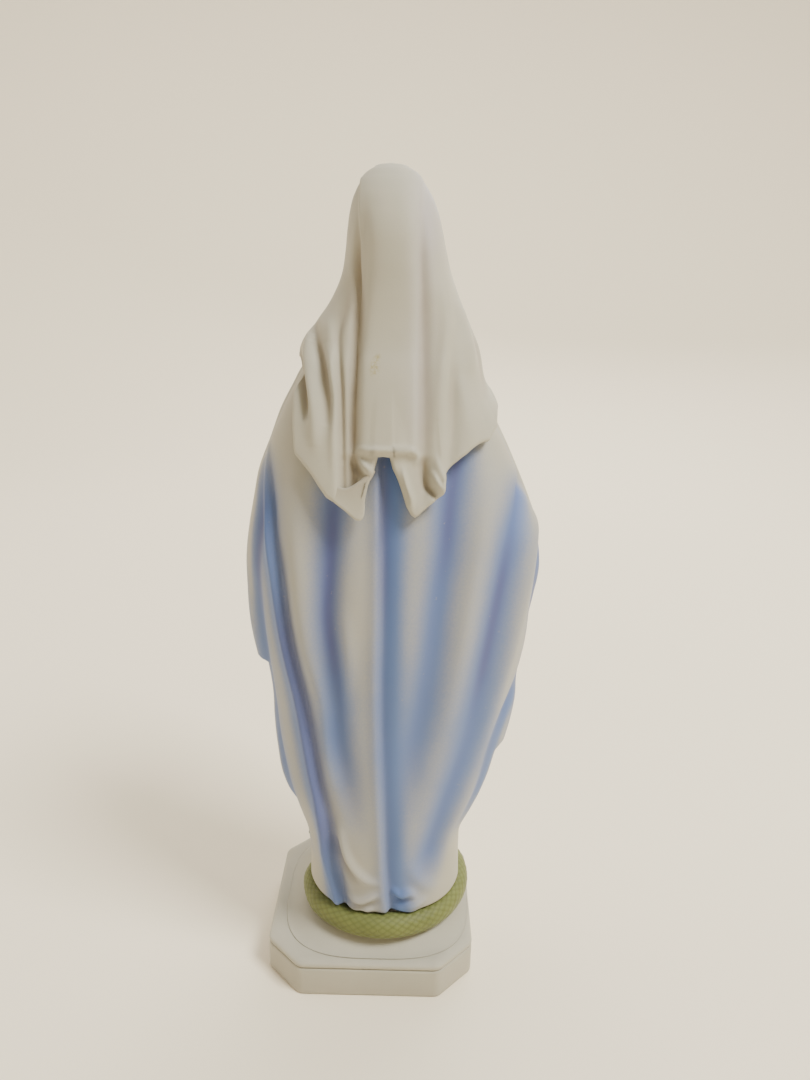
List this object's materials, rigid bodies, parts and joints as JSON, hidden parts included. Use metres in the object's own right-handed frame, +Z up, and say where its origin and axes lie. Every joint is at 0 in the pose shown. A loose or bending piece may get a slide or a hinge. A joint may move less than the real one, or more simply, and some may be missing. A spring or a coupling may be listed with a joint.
{
  "type": "madonna statue",
  "caption": "Standing Madonna in matte bisque porcelain with veil, blue-shaded mantle and praying hands, on an orb ringed by a serpent and a cut-cornered plinth",
  "frame": {"origin": "on the ground, at the middle of the statue's bounding box", "axes": "+Z up; the figure faces -Y, its left hand is on the +X side"},
  "size_m": [0.0975, 0.072, 0.27],
  "materials": {
    "white_bisque": "matte",
    "blue_bisque": "matte",
    "green_bisque": "matte",
    "sash_blue": "matte",
    "skin_bisque": "matte"
  },
  "bodies": {
    "root": {"plinth_base": "white_bisque", "plinth_cap": "white_bisque", "globe": "white_bisque", "serpent": "green_bisque", "tunic": "white_bisque", "sash": "sash_blue", "sleeve_left": "white_bisque", "sleeve_right": "white_bisque", "hand_left": "skin_bisque", "hand_right": "skin_bisque", "foot_left": "skin_bisque", "foot_right": "skin_bisque", "mantle": "blue_bisque", "veil": "white_bisque", "head": "skin_bisque"}
  },
  "joints": []
}
